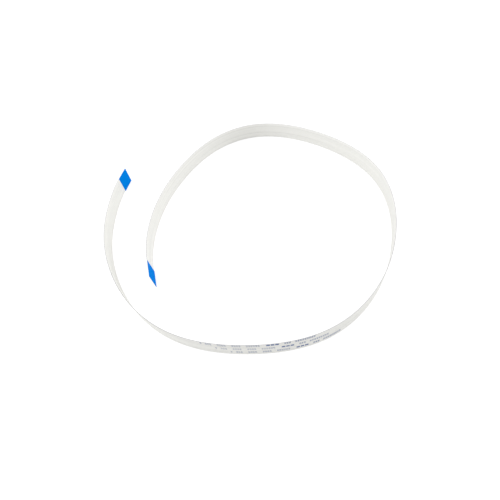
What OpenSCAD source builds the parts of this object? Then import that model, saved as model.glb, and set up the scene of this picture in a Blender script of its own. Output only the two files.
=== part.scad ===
// Flat flexible ribbon cable: parallel flat conductors laminated between two
// plastic films, with a stiffener on each end, laid in one open loop on its edge.

/* [Cable] */
// Length of the cable from tip to tip, along its middle
cable_length = 600; // [400:10:900]
// Number of conductors side by side
conductors = 10; // [4:1:30]
// Spacing of the conductors, centre to centre
pitch = 1; // [0.8:0.05:2]
// Film beyond the edge of the outermost conductors, at each long edge
edge_w = 0.65; // [0.3:0.05:1.5]

/* [Layers] */
// Width of one flat conductor
conductor_w = 0.7; // [0.3:0.05:0.75]
// Thickness of one flat conductor
conductor_t = 0.1; // [0.04:0.02:0.2]
// Thickness of each film over a conductor
film_t = 0.06; // [0.03:0.01:0.12]
// Thickness of the stiffener on each end
stiffener_t = 0.14; // [0.08:0.02:0.3]

/* [Ends] */
// Length of the stiffener, from the tip
stiffener_l = 11; // [9:0.5:20]
// Length of bare conductor at each tip, where the outer film stops short
contact_l = 4.5; // [2:0.5:8]

/* [Hidden] */
// Guide points of the bend between the two stiffeners, seen from above
route = [
    [-79, 52], [-82, 43], [-87, 4], [-74, -40], [-47, -71], [-10, -83], [28, -85], [61, -64], [83, -26],
    [89, 12], [76, 45], [47, 76], [14, 89], [-22, 74], [-52, 30], [-59, -7], [-57, -23]
];
// Short straight steps that draw the bend between two guide points
steps = 6;
// Points of the path counted from a tip: where the outer film stops, and where the stiffener ends
film_stop = 1;
stiffener_stop = 2;

conductor_names = [for (i = [1 : conductors]) str("conductor_", i < 10 ? "0" : "", i)];

film_color = "#eef0ee";
conductor_color = "#c4c8cc";
stiffener_color = "#0a7fe6";

// Width of the cable, which stands on one long edge
cable_w = (conductors - 1) * pitch + conductor_w + 2 * edge_w;

// Depth of each layer's faces, outwards from the cable's inner face
inner_face = 0;
conductor_inner = inner_face + film_t;
conductor_outer = conductor_inner + conductor_t;
// The two films meet halfway up the conductors, and their adhesive fills the gaps between them
seam = (conductor_inner + conductor_outer) / 2;
outer_face = conductor_outer + film_t;

function unit(v) = v / norm(v);
function last(list) = list[len(list) - 1];
function column(points, axis) = [for (p = points) p[axis]];
function middle(list) = (min(list) + max(list)) / 2;
function span(points, from, to) = [for (i = [from : to]) points[i]];
function backwards(list) = [for (i = [len(list) - 1 : -1 : 0]) list[i]];
function sum_of(list, i = 0) = i < len(list) ? list[i] + sum_of(list, i + 1) : 0;
function run_length(points) = sum_of([for (i = [1 : len(points) - 1]) norm(points[i] - points[i - 1])]);

// One point of a smooth bend guided by four points in a row
function bend(a, b, c, d, t) =
    (pow(1 - t, 3) * a + (3 * pow(t, 3) - 6 * pow(t, 2) + 4) * b
    + (1 + 3 * t + 3 * pow(t, 2) - 3 * pow(t, 3)) * c + pow(t, 3) * d) / 6;

// The bend starts and ends exactly on its first and last guide point, running straight there
function smooth(guides) =
    let (
        n = len(guides),
        g = concat([2 * guides[0] - guides[1]], guides, [2 * guides[n - 1] - guides[n - 2]])
    )
    [for (i = [0 : n - 2]) for (k = [0 : i < n - 2 ? steps - 1 : steps])
        bend(g[i], g[i + 1], g[i + 2], g[i + 3], k / steps)];

// The bend is laid larger or smaller so that the whole cable has its length
drawn = smooth(route);
bent = drawn * (cable_length - 2 * stiffener_l) / run_length(drawn);

// Under the stiffeners the cable runs straight on, past where the outer film stops, to its tip
out_a = unit(bent[0] - bent[1]);
out_b = unit(last(bent) - bent[len(bent) - 2]);
laid = concat(
    [bent[0] + out_a * stiffener_l, bent[0] + out_a * (stiffener_l - contact_l)],
    bent,
    [last(bent) + out_b * (stiffener_l - contact_l), last(bent) + out_b * stiffener_l]
);
centre = [for (axis = [0, 1]) middle(column(concat(face(laid, -stiffener_t), face(laid, outer_face)), axis))];
path = [for (p = laid) p - centre];
tip = len(path) - 1;

// Direction away from the loop's inside, square to one step of the path
function outwards(points, i) =
    let (along = unit(points[i + 1] - points[i])) [along[1], -along[0]];

// The path moved outwards by a depth, with every step kept parallel
function face(points, depth) =
    [for (i = [0 : len(points) - 1])
        let (
            before = outwards(points, max(i - 1, 0)),
            after = outwards(points, min(i, len(points) - 2))
        )
        points[i] + depth * (before + after) / (1 + before * after)];

// A layer of the cable between two depths, from one path point to another, standing on its edge
module layer(from_depth, to_depth, from, to, height) {
    linear_extrude(height)
        polygon(concat(
            span(face(path, from_depth), from, to),
            backwards(span(face(path, to_depth), from, to))
        ));
}

module conductor(i) {
    color(conductor_color)
        translate([0, 0, edge_w + i * pitch])
        layer(conductor_inner, conductor_outer, 0, tip, conductor_w);
}

// A film with a channel over half of each conductor's thickness
module film(from_depth, to_depth, from, to) {
    color(film_color)
        difference() {
            layer(from_depth, to_depth, from, to, cable_w);
            for (i = [0 : conductors - 1]) conductor(i);
        }
}

module inner_film() {
    film(inner_face, seam, 0, tip);
}

module outer_film() {
    film(seam, outer_face, film_stop, tip - film_stop);
}

module stiffener(from, to) {
    color(stiffener_color)
        layer(inner_face - stiffener_t, inner_face, from, to, cable_w);
}

inner_film();
outer_film();
stiffener(0, stiffener_stop);  // stiffener_a
stiffener(tip - stiffener_stop, tip);  // stiffener_b
for (i = [0 : conductors - 1])
    conductor(i);
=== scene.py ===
"""Looks of a flat ribbon cable: white film over tinned conductors, with blue stiffeners, in one loop."""
import math

import bpy
import numpy as np
from mathutils import Matrix, Vector


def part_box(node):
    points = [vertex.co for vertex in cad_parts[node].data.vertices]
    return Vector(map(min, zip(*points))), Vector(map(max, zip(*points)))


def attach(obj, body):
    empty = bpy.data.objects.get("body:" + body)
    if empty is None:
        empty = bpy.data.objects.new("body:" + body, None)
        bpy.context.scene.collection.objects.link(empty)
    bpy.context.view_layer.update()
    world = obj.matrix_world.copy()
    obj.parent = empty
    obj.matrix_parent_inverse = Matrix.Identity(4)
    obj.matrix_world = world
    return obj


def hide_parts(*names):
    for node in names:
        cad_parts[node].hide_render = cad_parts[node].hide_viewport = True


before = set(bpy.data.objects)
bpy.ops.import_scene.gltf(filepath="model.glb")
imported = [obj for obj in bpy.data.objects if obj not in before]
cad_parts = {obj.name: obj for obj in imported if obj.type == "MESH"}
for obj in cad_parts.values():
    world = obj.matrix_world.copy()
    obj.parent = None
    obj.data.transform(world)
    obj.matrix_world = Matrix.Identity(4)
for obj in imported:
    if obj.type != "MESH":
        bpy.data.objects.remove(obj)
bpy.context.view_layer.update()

MM = 0.001

# Sizes read from the parts in model.glb
CABLE_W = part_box("inner_film")[1].z
CONDUCTORS = sorted(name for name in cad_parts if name.startswith("conductor_"))
CONDUCTOR_Z = np.array([[corner.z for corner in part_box(name)] for name in CONDUCTORS])
CONDUCTOR_W = float(np.ptp(CONDUCTOR_Z[0]))
FIRST_CONDUCTOR = float(CONDUCTOR_Z[0].mean())
PITCH = float(CONDUCTOR_Z[1].mean() - CONDUCTOR_Z[0].mean())
MARGIN_W = float(CONDUCTOR_Z[0][0])

# Sizes of the cable, as it is built
CABLE_L = 600 * MM
STIFFENER_L = 11 * MM
CONTACT_L = 4.5 * MM
CONDUCTOR_T = 0.1 * MM
FILM_T = 0.06 * MM
STIFFENER_T = 0.14 * MM

# Depths of the layers' faces, outwards from the cable's inner face
INNER_FACE = 0.0
CONDUCTOR_INNER = INNER_FACE + FILM_T
CONDUCTOR_OUTER = CONDUCTOR_INNER + CONDUCTOR_T
SEAM = (CONDUCTOR_INNER + CONDUCTOR_OUTER) / 2
OUTER_FACE = CONDUCTOR_OUTER + FILM_T

# The film is pressed down a little beside each conductor, over a short rise
PRESSED_DEPTH = 0.02 * MM
PRESSED_RISE = 0.08 * MM
# Radius of the slit edges, and the points that draw it
EDGE_ROUND = 0.02 * MM
EDGE_POINTS = 4
# Half the width of the steep side of a film's channel
CHANNEL_SLOPE = 0.0025 * MM

# Guide points of the bend between the two stiffeners, seen from above
ROUTE = MM * np.array([
    (-79, 52), (-82, 43), (-87, 4), (-74, -40), (-47, -71), (-10, -83), (28, -85), (61, -64), (83, -26),
    (89, 12), (76, 45), (47, 76), (14, 89), (-22, 74), (-52, 30), (-59, -7), (-57, -23)
])
# Points worked out between two guide points, and the spacing of the stations that the meshes then have
SPAN_STEPS = 24
STATION_STEP = 2.5 * MM

# Camera
CAMERA_AT = Vector((-1.67, -138.15, 152.43)) * MM
CAMERA_TILT = math.radians(37.29)
CAMERA_ROLL = math.radians(-11.42)
CAMERA_LENS = 23.96
CLIP_START = 1 * MM


def set_camera():
    """The photograph's view: from the front and above, tilted from straight down, and turned a little."""
    camera = bpy.data.objects.new("camera", bpy.data.cameras.new("camera"))
    camera.data.lens = CAMERA_LENS
    camera.data.clip_start = CLIP_START
    place = Matrix.Translation(CAMERA_AT)
    tilt = Matrix.Rotation(CAMERA_TILT, 4, "X")
    camera.matrix_world = place @ tilt @ Matrix.Rotation(CAMERA_ROLL, 4, "Z")
    bpy.context.scene.collection.objects.link(camera)
    bpy.context.scene.camera = camera


# The cable's path

def run_of(points):
    """Length of the way along the points, up to each of them."""
    return np.concatenate([[0], np.cumsum(np.linalg.norm(np.diff(points, axis=0), axis=1))])


def smooth_bend(guides):
    """Uniform cubic B-spline of the guides: each span is the sum of four guides weighted by cubics in t.

    A guide mirrored beyond each end makes the bend start and end on its last guide, running straight there.
    """
    g = np.vstack([2 * guides[:1] - guides[1:2], guides, 2 * guides[-1:] - guides[-2:-1]])
    t = np.linspace(0, 1, SPAN_STEPS, endpoint=False)[None, :, None]
    a, b, c, d = (g[k:len(g) - 3 + k, None] for k in range(4))
    spans = (
        (1 - t) ** 3 * a + (3 * t ** 3 - 6 * t ** 2 + 4) * b
        + (1 + 3 * t + 3 * t ** 2 - 3 * t ** 3) * c + t ** 3 * d
    ) / 6
    return np.vstack([spans.reshape(-1, 2), guides[-1:]])


def outward_normals(points):
    """Directions away from the loop's inside: the path's own direction, turned a quarter to the right."""
    along = np.gradient(points, axis=0)
    along /= np.linalg.norm(along, axis=1, keepdims=True)
    return np.stack([along[:, 1], -along[:, 0]], axis=1)


def lay_path():
    """Runs, places and outward normals of the cable's stations.

    The bend is laid to its length, each end runs straight on under its stiffener, and the box round the whole
    cable is centred on the origin.
    """
    bend = smooth_bend(ROUTE)
    bend *= (CABLE_L - 2 * STIFFENER_L) / run_of(bend)[-1]
    ends = []
    for end, before in ((bend[0], bend[1]), (bend[-1], bend[-2])):
        ends.append(end + STIFFENER_L * (end - before) / np.linalg.norm(end - before))
    laid = np.vstack([ends[:1], bend, ends[1:]])
    runs = np.linspace(0, CABLE_L, round(CABLE_L / STATION_STEP) + 1)
    places = np.stack([np.interp(runs, run_of(laid), laid[:, axis]) for axis in (0, 1)], axis=1)
    outwards = outward_normals(places)
    faces = np.vstack([places - STIFFENER_T * outwards, places + OUTER_FACE * outwards])
    return runs, places - (faces.min(0) + faces.max(0)) / 2, outwards


STATIONS, PLACES, OUTWARDS = lay_path()


def at_runs(runs):
    """Places and outward normals at the given runs, straight between two stations."""
    return [
        np.stack([np.interp(runs, STATIONS, values[:, axis]) for axis in (0, 1)], axis=1)
        for values in (PLACES, OUTWARDS)
    ]


# Profile across the cable's width

def conductor_offset(z):
    """Distance of each height z from the middle of the nearest conductor."""
    nearest = np.clip(np.round((z - FIRST_CONDUCTOR) / PITCH), 0, len(CONDUCTORS) - 1)
    return np.abs(z - FIRST_CONDUCTOR - nearest * PITCH)


def over_conductor(z):
    """1 over a conductor and 0 beside it."""
    return (conductor_offset(z) < CONDUCTOR_W / 2).astype(float)


def pressed(z):
    """How far a film's face lies below its height over a conductor: a cosine step beside each conductor."""
    rise = np.clip((conductor_offset(z) - CONDUCTOR_W / 2) / PRESSED_RISE, 0, 1)
    return PRESSED_DEPTH * (1 - np.cos(np.pi * rise)) / 2


def rounded(z, width=CABLE_W):
    """How far a face draws in near the two long edges: a quarter circle."""
    inside = np.clip(EDGE_ROUND - np.minimum(z, width - z), 0, EDGE_ROUND)
    return EDGE_ROUND - np.sqrt(EDGE_ROUND ** 2 - inside ** 2)


def edge_heights():
    """Heights up a rounded edge, at even steps round its quarter circle."""
    return EDGE_ROUND * (1 - np.cos(np.linspace(0, np.pi / 2, EDGE_POINTS)))


def heights_across():
    """Heights at which a film's profile has its points: the rounded edges, and each conductor's sides."""
    edge = edge_heights()
    half = CONDUCTOR_W / 2
    side = half + np.array([-CHANNEL_SLOPE, CHANNEL_SLOPE, PRESSED_RISE / 2, PRESSED_RISE])
    around = np.concatenate([-side[::-1], [0], side])
    middles = CONDUCTOR_Z.mean(axis=1)
    return np.sort(np.concatenate([edge, CABLE_W - edge, (middles[:, None] + around).ravel()]))


ACROSS = heights_across()


# Meshes

ALONG_AND_ACROSS = "along_and_across"
SHARP_ANGLE = math.radians(35)


def layer(start, end, across, near, far):
    """One layer of the cable, as the points, faces and texture places of a closed surface.

    The point at run s and height z of its near or far side is the path's place at s, moved outwards by that
    side's depth at z. Each station has one ring, up the far side and down the near one, and a strip of quads
    between the two sides closes each end. A texture place is the run and the height, in cable widths.
    """
    inside = STATIONS[(STATIONS > start + EDGE_ROUND) & (STATIONS < end - EDGE_ROUND)]
    runs = np.concatenate([[start], inside, [end]])
    places, outwards = at_runs(runs)
    ring_z = np.concatenate([across, across[::-1]])
    ring_depth = np.concatenate([far, near[::-1]])
    flat = places[:, None] + ring_depth[None, :, None] * outwards[:, None]
    height = np.broadcast_to(ring_z[None, :, None], flat.shape[:2] + (1,))
    points = np.concatenate([flat, height], axis=2)
    n, m = points.shape[:2]
    index = np.arange(n * m).reshape(n, m)
    following = np.roll(index, -1, axis=1)
    sides = np.stack([index[:-1], index[1:], following[1:], following[:-1]], axis=2).reshape(-1, 4)
    half = m // 2
    low, high = np.arange(half - 1), np.arange(1, half)
    strip = np.stack([low, high, m - 1 - high, m - 1 - low], axis=1)
    faces = np.vstack([sides, strip, (n - 1) * m + strip[:, ::-1]])
    texture = np.stack([np.broadcast_to(runs[:, None], (n, m)), np.broadcast_to(ring_z, (n, m))], axis=2)
    return points.reshape(-1, 3), faces, texture.reshape(-1, 2) / CABLE_W


def make_piece(name, layers, material, slot, *nodes):
    """A piece made of one or more layers, which is attached to the root body and stands for the given nodes.
    """
    firsts = np.cumsum([0] + [len(points) for points, _, _ in layers])
    points = np.vstack([points for points, _, _ in layers])
    faces = np.vstack([faces + first for (_, faces, _), first in zip(layers, firsts)])
    texture = np.vstack([texture for _, _, texture in layers])
    mesh = bpy.data.meshes.new(name)
    mesh.from_pydata(points, [], faces)
    uv = mesh.uv_layers.new(name=ALONG_AND_ACROSS)
    corners = np.zeros(len(mesh.loops), dtype=np.int32)
    mesh.loops.foreach_get("vertex_index", corners)
    uv.data.foreach_set("uv", texture[corners].ravel())
    mesh.shade_smooth()
    mesh.set_sharp_from_angle(angle=SHARP_ANGLE)
    mesh.materials.append(material)
    piece = bpy.data.objects.new(name, mesh)
    bpy.context.scene.collection.objects.link(piece)
    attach(piece, "root")
    if nodes:
        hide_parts(*nodes)
    return piece


# Shader nodes

def feed(tree, socket, value):
    """Link a socket to another node's output, or set it to a plain value."""
    if isinstance(value, bpy.types.NodeSocket):
        tree.links.new(value, socket)
    else:
        socket.default_value = value


def add(tree, kind, inputs=None, **settings):
    """A node with its settings, whose inputs are values or the outputs of other nodes."""
    node = tree.nodes.new(kind)
    for name, value in settings.items():
        setattr(node, name, value)
    for name, value in (inputs or {}).items():
        feed(tree, node.inputs[name], value)
    return node


def math_node(tree, operation, *values, clamp=False):
    """The output of one sum, product or comparison."""
    node = add(tree, "ShaderNodeMath", dict(enumerate(values)), operation=operation, use_clamp=clamp)
    return node.outputs[0]


def opaque(colour):
    """A plain colour with full alpha, and a node's output as it is."""
    return colour if isinstance(colour, bpy.types.NodeSocket) else (*colour, 1)


def mix_colours(tree, share, one, other):
    """One colour turning into the other as the share goes from 0 to 1."""
    inputs = {0: share, 6: opaque(one), 7: opaque(other)}
    return add(tree, "ShaderNodeMix", inputs, data_type="RGBA").outputs[2]


def ramp(tree, value, low, high, to_low=0.0, to_high=1.0):
    """The value carried from the range low to high over to another range, and kept within it."""
    inputs = {0: value, 1: low, 2: high, 3: to_low, 4: to_high}
    return add(tree, "ShaderNodeMapRange", inputs, clamp=True).outputs[0]


def new_group(name, inputs, outputs):
    """An empty node group with named inputs and their defaults, and named outputs."""
    tree = bpy.data.node_groups.new(name, "ShaderNodeTree")
    for label, kind, value in inputs:
        socket = tree.interface.new_socket(label, in_out="INPUT", socket_type=kind)
        socket.default_value = value
    for label in outputs:
        tree.interface.new_socket(label, in_out="OUTPUT", socket_type="NodeSocketFloat")
    return tree, tree.nodes.new("NodeGroupInput").outputs, tree.nodes.new("NodeGroupOutput").inputs


def sheet_grain_group():
    """Streaks that a sheet or strip gets lengthwise as it is rolled, with finer specks between them."""
    tree, given, put = new_group(
        "sheet_grain",
        [
            ("Place", "NodeSocketVector", (0, 0, 0)),
            ("Along", "NodeSocketFloat", 1.0),
            ("Across", "NodeSocketFloat", 10.0),
            ("Speck Size", "NodeSocketFloat", 0.02),
        ],
        ["Streaks", "Specks"],
    )
    place = given["Place"]
    stretch = add(tree, "ShaderNodeCombineXYZ", {0: given["Along"], 1: given["Across"]}).outputs[0]
    stretched = add(tree, "ShaderNodeVectorMath", {0: place, 1: stretch}, operation="MULTIPLY").outputs[0]
    streaks = add(tree, "ShaderNodeTexNoise", {"Vector": stretched, "Scale": 1.0, "Detail": 4.0})
    fine = math_node(tree, "DIVIDE", 1.0, given["Speck Size"])
    specks = add(tree, "ShaderNodeTexNoise", {"Vector": place, "Scale": fine, "Detail": 2.0})
    tree.links.new(streaks.outputs[0], put["Streaks"])
    tree.links.new(specks.outputs[0], put["Specks"])
    return tree


# Width over which a conductor's edge and a margin's edge show softly through the film
LINE_SOFTNESS = 0.05 * MM
MARGIN_SOFTNESS = 0.1 * MM
# How fast the strength of a conductor's line changes along it, against the change from one to the next
SHADE_ALONG = 0.12
SHADE_SCALE = 0.83


def conductor_lines_group():
    """Masks across the cable's width: over a conductor, in the margins and on the slit edges, where the film
    gets partly painted shade.

    Shade is how strongly each conductor shows, slowly changing along it.
    """
    tree, given, put = new_group(
        "conductor_lines",
        [
            ("Height", "NodeSocketFloat", 0.0),
            ("Run", "NodeSocketFloat", 0.0),
            ("Softness", "NodeSocketFloat", LINE_SOFTNESS),
        ],
        ["Over", "Margin", "Slit And Shade", "Shade"],
    )
    height = given["Height"]
    from_first = math_node(tree, "SUBTRACT", height, FIRST_CONDUCTOR)
    nearest = math_node(tree, "ROUND", math_node(tree, "DIVIDE", from_first, PITCH))
    nearest = math_node(tree, "MINIMUM", math_node(tree, "MAXIMUM", nearest, 0.0), len(CONDUCTORS) - 1.0)
    middle = math_node(tree, "MULTIPLY", nearest, PITCH)
    offset = math_node(tree, "ABSOLUTE", math_node(tree, "SUBTRACT", from_first, middle))
    beyond = math_node(tree, "SUBTRACT", offset, CONDUCTOR_W / 2)
    over = math_node(tree, "DIVIDE", beyond, given["Softness"])
    over = math_node(tree, "SUBTRACT", 0.5, over, clamp=True)
    from_edge = math_node(tree, "MINIMUM", height, math_node(tree, "SUBTRACT", CABLE_W, height))
    margin = ramp(tree, from_edge, MARGIN_W, MARGIN_W - MARGIN_SOFTNESS)
    # The slit edges, which the film darkens partly with painted shade
    slit_and_shade = ramp(tree, from_edge, EDGE_ROUND, EDGE_ROUND / 2)
    along = math_node(tree, "MULTIPLY", given["Run"], SHADE_ALONG)
    own_place = add(tree, "ShaderNodeCombineXYZ", {0: along, 1: nearest}).outputs[0]
    shade = add(tree, "ShaderNodeTexNoise", {"Vector": own_place, "Scale": SHADE_SCALE, "Detail": 1.0})
    for label, value in (("Over", over), ("Margin", margin), ("Slit And Shade", slit_and_shade), ("Shade", shade.outputs[0])):
        tree.links.new(value, put[label])
    return tree


SHEET_GRAIN = sheet_grain_group()
CONDUCTOR_LINES = conductor_lines_group()


def new_material(name):
    """A material with its shader, and the place along and across the cable that its patterns read."""
    material = bpy.data.materials.new(name)
    material.use_nodes = True
    tree = material.node_tree
    shader = tree.nodes["Principled BSDF"]
    place = add(tree, "ShaderNodeUVMap", uv_map=ALONG_AND_ACROSS).outputs[0]
    return material, tree, shader, place


def grain(tree, place, along, across, speck):
    """Streaks and specks of the shared grain, at one material's own scale."""
    inputs = {"Place": place, "Along": along, "Across": across, "Speck Size": speck}
    group = add(tree, "ShaderNodeGroup", inputs, node_tree=SHEET_GRAIN)
    return group.outputs["Streaks"], group.outputs["Specks"]


def bump(tree, shader, height, distance):
    """Relief of the given depth on the shader."""
    node = add(tree, "ShaderNodeBump", {"Height": height, "Distance": distance, "Strength": 1.0})
    tree.links.new(node.outputs[0], shader.inputs["Normal"])


# Materials

# Ranges of a noise's values that are spread over a whole change of colour or roughness
NARROW_NOISE = (0.35, 0.65)
WIDE_NOISE = (0.3, 0.7)

# Film: over a conductor that shows strongly or faintly, beside it, in the margins, and in dull streaks.
# The slit edges are a darker grey: partly the cut through both films and their adhesive, partly painted shade
# for the dark line along each edge
FILM_OVER_STRONG = (0.8, 0.797, 0.765)
FILM_OVER_FAINT = (0.88, 0.876, 0.84)
FILM_BESIDE = (0.9, 0.897, 0.867)
FILM_MARGIN = (0.9, 0.898, 0.872)
FILM_DULL = (0.55, 0.57, 0.58)
FILM_DULL_SHARE = 0.05
FILM_SLIT_AND_SHADE = (0.36, 0.36, 0.37)
FILM_ROUGHNESS = (0.46, 0.58)
FILM_GLOSS = 0.04
FILM_RELIEF = 0.004 * MM


def film_material():
    """White satin polyester: greyer over the conductors, paler between and beside them."""
    material, tree, shader, place = new_material("white_polyester_film")
    object_place = add(tree, "ShaderNodeTexCoord").outputs["Object"]
    height = add(tree, "ShaderNodeSeparateXYZ", {0: object_place}).outputs[2]
    run = add(tree, "ShaderNodeSeparateXYZ", {0: place}).outputs[0]
    lines = add(tree, "ShaderNodeGroup", {"Height": height, "Run": run}, node_tree=CONDUCTOR_LINES).outputs
    streaks, specks = grain(tree, place, along=0.4, across=40.0, speck=0.03)
    shade = ramp(tree, lines["Shade"], *NARROW_NOISE)
    over_conductor_colour = mix_colours(tree, shade, FILM_OVER_STRONG, FILM_OVER_FAINT)
    colour = mix_colours(tree, lines["Over"], FILM_BESIDE, over_conductor_colour)
    colour = mix_colours(tree, lines["Margin"], colour, FILM_MARGIN)
    dull = ramp(tree, streaks, *NARROW_NOISE, 0.0, FILM_DULL_SHARE)
    colour = mix_colours(tree, dull, colour, FILM_DULL)
    # Partly painted shade: the slit edges are darker than the grey of their cut alone
    colour = mix_colours(tree, lines["Slit And Shade"], colour, FILM_SLIT_AND_SHADE)
    tree.links.new(colour, shader.inputs["Base Color"])
    tree.links.new(ramp(tree, streaks, *WIDE_NOISE, *FILM_ROUGHNESS), shader.inputs["Roughness"])
    shader.inputs["Specular IOR Level"].default_value = FILM_GLOSS
    bump(tree, shader, specks, FILM_RELIEF)
    return material


SHEET_DEEP_BLUE = (0.0, 0.197, 0.69)
SHEET_LIGHT_BLUE = (0.0, 0.226, 0.785)
SHEET_ROUGHNESS = (0.5, 0.62)
SHEET_GLOSS = 0.004
SHEET_RELIEF = 0.006 * MM


def stiffener_material():
    """Bright blue polyester sheet with a satin face and faint lengthwise streaks."""
    material, tree, shader, place = new_material("blue_polyester_sheet")
    streaks, specks = grain(tree, place, along=1.5, across=30.0, speck=0.04)
    colour = mix_colours(tree, ramp(tree, streaks, *WIDE_NOISE), SHEET_DEEP_BLUE, SHEET_LIGHT_BLUE)
    tree.links.new(colour, shader.inputs["Base Color"])
    tree.links.new(ramp(tree, specks, *WIDE_NOISE, *SHEET_ROUGHNESS), shader.inputs["Roughness"])
    shader.inputs["Specular IOR Level"].default_value = SHEET_GLOSS
    bump(tree, shader, specks, SHEET_RELIEF)
    return material


TIN_DARK = (0.5, 0.51, 0.53)
TIN_BRIGHT = (0.7, 0.7, 0.7)
TIN_ROUGHNESS = (0.2, 0.36)
TIN_RELIEF = 0.004 * MM


def conductor_material():
    """Bright tin over copper, rolled lengthwise."""
    material, tree, shader, place = new_material("bright_tin_plating")
    streaks, _ = grain(tree, place, along=2.0, across=160.0, speck=0.015)
    colour = mix_colours(tree, ramp(tree, streaks, *WIDE_NOISE), TIN_DARK, TIN_BRIGHT)
    tree.links.new(colour, shader.inputs["Base Color"])
    tree.links.new(ramp(tree, streaks, *WIDE_NOISE, *TIN_ROUGHNESS), shader.inputs["Roughness"])
    shader.inputs["Metallic"].default_value = 1.0
    bump(tree, shader, streaks, TIN_RELIEF)
    return material


INK_FULL = (0.07, 0.115, 0.27)
INK_THIN = (0.15, 0.205, 0.375)
INK_ROUGHNESS = (0.45, 0.6)


def ink_material():
    """Dark blue printing ink, thinner in places."""
    material, tree, shader, place = new_material("dark_blue_ink")
    streaks, specks = grain(tree, place, along=20.0, across=20.0, speck=0.02)
    colour = mix_colours(tree, ramp(tree, streaks, *NARROW_NOISE), INK_FULL, INK_THIN)
    tree.links.new(colour, shader.inputs["Base Color"])
    tree.links.new(ramp(tree, specks, *WIDE_NOISE, *INK_ROUGHNESS), shader.inputs["Roughness"])
    return material


# The cable's pieces

def make_inner_film(film):
    """The full-length film, with a channel for half of each conductor on its outer side."""
    near = INNER_FACE + pressed(ACROSS) + rounded(ACROSS)
    far = SEAM - over_conductor(ACROSS) * CONDUCTOR_T / 2
    return make_piece("inner_film_sheet", [layer(0, CABLE_L, ACROSS, near, far)], film, "film", "inner_film")


def make_outer_film(film):
    """The film that stops short of both tips, with channels on its inner side."""
    near = SEAM + over_conductor(ACROSS) * CONDUCTOR_T / 2
    far = OUTER_FACE - pressed(ACROSS) - rounded(ACROSS)
    body = layer(CONTACT_L, CABLE_L - CONTACT_L, ACROSS, near, far)
    return make_piece("outer_film_sheet", [body], film, "film", "outer_film")


def make_stiffener(name, start, blue):
    """A blue sheet bonded to the inner film's face, whose bonded side follows that face."""
    near = np.full_like(ACROSS, INNER_FACE - STIFFENER_T) + rounded(ACROSS)
    far = INNER_FACE + pressed(ACROSS) + rounded(ACROSS)
    body = layer(start, start + STIFFENER_L, ACROSS, near, far)
    return make_piece(name + "_sheet", [body], blue, "stiffener", name)


def make_conductor(name, low, tin):
    """A flat strip of tinned copper with rolled, rounded edges."""
    edge = edge_heights()
    across = np.concatenate([edge, CONDUCTOR_W - edge[::-1]])
    drawn_in = rounded(across, CONDUCTOR_W)
    body = layer(0, CABLE_L, low + across, CONDUCTOR_INNER + drawn_in, CONDUCTOR_OUTER - drawn_in)
    return make_piece(name + "_strip", [body], tin, "conductor", name)


# Print: three like rows of plain small marks on the outer face, each row starting farther along
PRINT_START = 159.5 * MM
ROW_HEIGHTS = (10 * MM, 6.4 * MM, 2.75 * MM)
ROW_SHIFT = 6.7 * MM
MARK_H = 1.5 * MM
MARK_STEP = 1.05 * MM
MARK_L = 0.8 * MM
BLOCK_STEP = 2 * MM
BLOCK_L = 1.6 * MM
INK_T = 0.008 * MM
# Groups of marks of two bars each, in mm: the group's start in its row, its count of marks, its bars' height
BAR_GROUPS = (
    (0, 1, 0.4), (2.6, 3, 0.4), (8.2, 4, 0.42), (14.9, 4, 0.42), (21.4, 6, 0.42), (38.4, 3, 0.58),
    (43.3, 9, 0.54)
)
# Groups of solid blocks, in mm: the group's start in its row and its count of blocks
BLOCK_GROUPS = ((30.4, 3),)


def ink_patch(start, end, low, high):
    """A thin patch of ink that follows the outer film's face."""
    inside = ACROSS[(ACROSS > low + EDGE_ROUND) & (ACROSS < high - EDGE_ROUND)]
    across = np.concatenate([[low], inside, [high]])
    face = OUTER_FACE - pressed(across)
    return layer(start, end, across, face - INK_T, face + INK_T)


def make_print(ink):
    """Three rows of marks, each mark either two thin bars or one solid block."""
    patches = []
    for row, height in enumerate(ROW_HEIGHTS):
        row_start = PRINT_START + row * ROW_SHIFT
        low, high = height - MARK_H / 2, height + MARK_H / 2
        for group_start, marks, bar_h in BAR_GROUPS:
            for mark in range(marks):
                start = row_start + group_start * MM + mark * MARK_STEP
                patches.append(ink_patch(start, start + MARK_L, low, low + bar_h * MM))
                patches.append(ink_patch(start, start + MARK_L, high - bar_h * MM, high))
        for group_start, marks in BLOCK_GROUPS:
            for mark in range(marks):
                start = row_start + group_start * MM + mark * BLOCK_STEP
                patches.append(ink_patch(start, start + BLOCK_L, low, high))
    return make_piece("print_marks", patches, ink, "film")


def make_cable():
    """All pieces of the cable from tip to tip: its inner film, and the others that lie along it."""
    film = film_material()
    blue = stiffener_material()
    tin = conductor_material()
    inner = make_inner_film(film)
    others = [
        make_outer_film(film),
        make_stiffener("stiffener_a", 0, blue),
        make_stiffener("stiffener_b", CABLE_L - STIFFENER_L, blue),
        make_print(ink_material()),
    ]
    others += [make_conductor(name, low, tin) for name, (low, _) in zip(CONDUCTORS, CONDUCTOR_Z)]


# Floor, surroundings and lamps

def seen_directly(tree):
    """1 for rays that show the background: from the camera, and in reflections and through clear things."""
    path = add(tree, "ShaderNodeLightPath").outputs
    seen = math_node(tree, "MAXIMUM", path["Is Camera Ray"], path["Is Glossy Ray"])
    return math_node(tree, "MAXIMUM", seen, path["Is Transmission Ray"])


# The floor's glow and shade where it is seen directly, and its own pale colour for all other rays
FLOOR_SIZE = 6.0
FLOOR_GLOW = 0.8
FLOOR_SHADE = (0.3, 0.3, 0.3)
FLOOR_PALE = (0.8, 0.8, 0.8)


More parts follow.
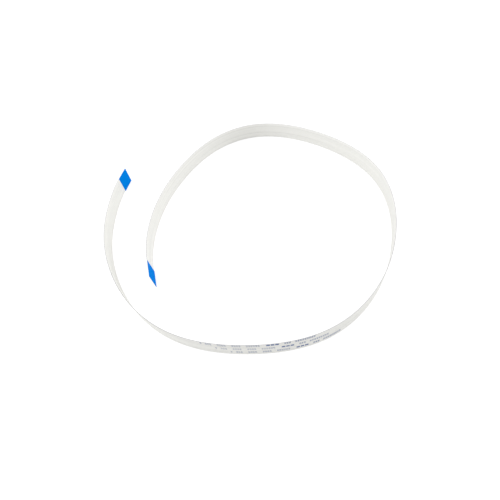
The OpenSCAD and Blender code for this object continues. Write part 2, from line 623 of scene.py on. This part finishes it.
def make_floor():
    """A pale floor that the camera sees as white, apart from the cable's soft shadow."""
    material = bpy.data.materials.new("pale_floor")
    material.use_nodes = True
    tree = material.node_tree
    tree.nodes.remove(tree.nodes["Principled BSDF"])
    shade = add(tree, "ShaderNodeBsdfDiffuse", {"Color": opaque(FLOOR_SHADE)})
    glow = add(tree, "ShaderNodeEmission", {"Strength": FLOOR_GLOW})
    white = add(tree, "ShaderNodeAddShader", {0: shade.outputs[0], 1: glow.outputs[0]})
    pale = add(tree, "ShaderNodeBsdfDiffuse", {"Color": opaque(FLOOR_PALE)})
    both = add(tree, "ShaderNodeMixShader", {0: seen_directly(tree), 1: pale.outputs[0], 2: white.outputs[0]})
    tree.links.new(both.outputs[0], tree.nodes["Material Output"].inputs["Surface"])
    half = FLOOR_SIZE / 2
    corners = [(-half, -half, 0), (half, -half, 0), (half, half, 0), (-half, half, 0)]
    mesh = bpy.data.meshes.new("floor")
    mesh.from_pydata(corners, [], [(0, 1, 2, 3)])
    mesh.materials.append(material)
    floor = bpy.data.objects.new("floor", mesh)
    bpy.context.scene.collection.objects.link(floor)


SKY_LEVEL = 0.86


def set_surroundings():
    """An even pale surrounding light, seen as white."""
    world = bpy.data.worlds.new("studio")
    world.use_nodes = True
    tree = world.node_tree
    level = add(tree, "ShaderNodeMapRange", {0: seen_directly(tree), 3: SKY_LEVEL, 4: 1.0})
    tree.links.new(level.outputs[0], tree.nodes["Background"].inputs["Strength"])
    tree.nodes["Background"].inputs["Color"].default_value = (1, 1, 1, 1)
    bpy.context.scene.world = world


# Softboxes: name and place, with one side length and power for both
SOFTBOXES = (
    ("softbox_left", Vector((-1.5, 0.2, 0.9))),
    ("softbox_right", Vector((1.5, 0.2, 0.9))),
)
SOFTBOX_SIDE = 1.0
SOFTBOX_POWER = 8.5


def set_lamps():
    """Large square lamps that point at the loop's middle."""
    for name, place in SOFTBOXES:
        lamp = bpy.data.lights.new(name, "AREA")
        lamp.shape = "SQUARE"
        lamp.size = SOFTBOX_SIDE
        lamp.energy = SOFTBOX_POWER
        holder = bpy.data.objects.new(name, lamp)
        holder.matrix_world = Matrix.Translation(place) @ place.to_track_quat("Z", "Y").to_matrix().to_4x4()
        bpy.context.scene.collection.objects.link(holder)


set_camera()
make_cable()
make_floor()
set_surroundings()
set_lamps()

bpy.context.scene.view_settings.view_transform = "Standard"
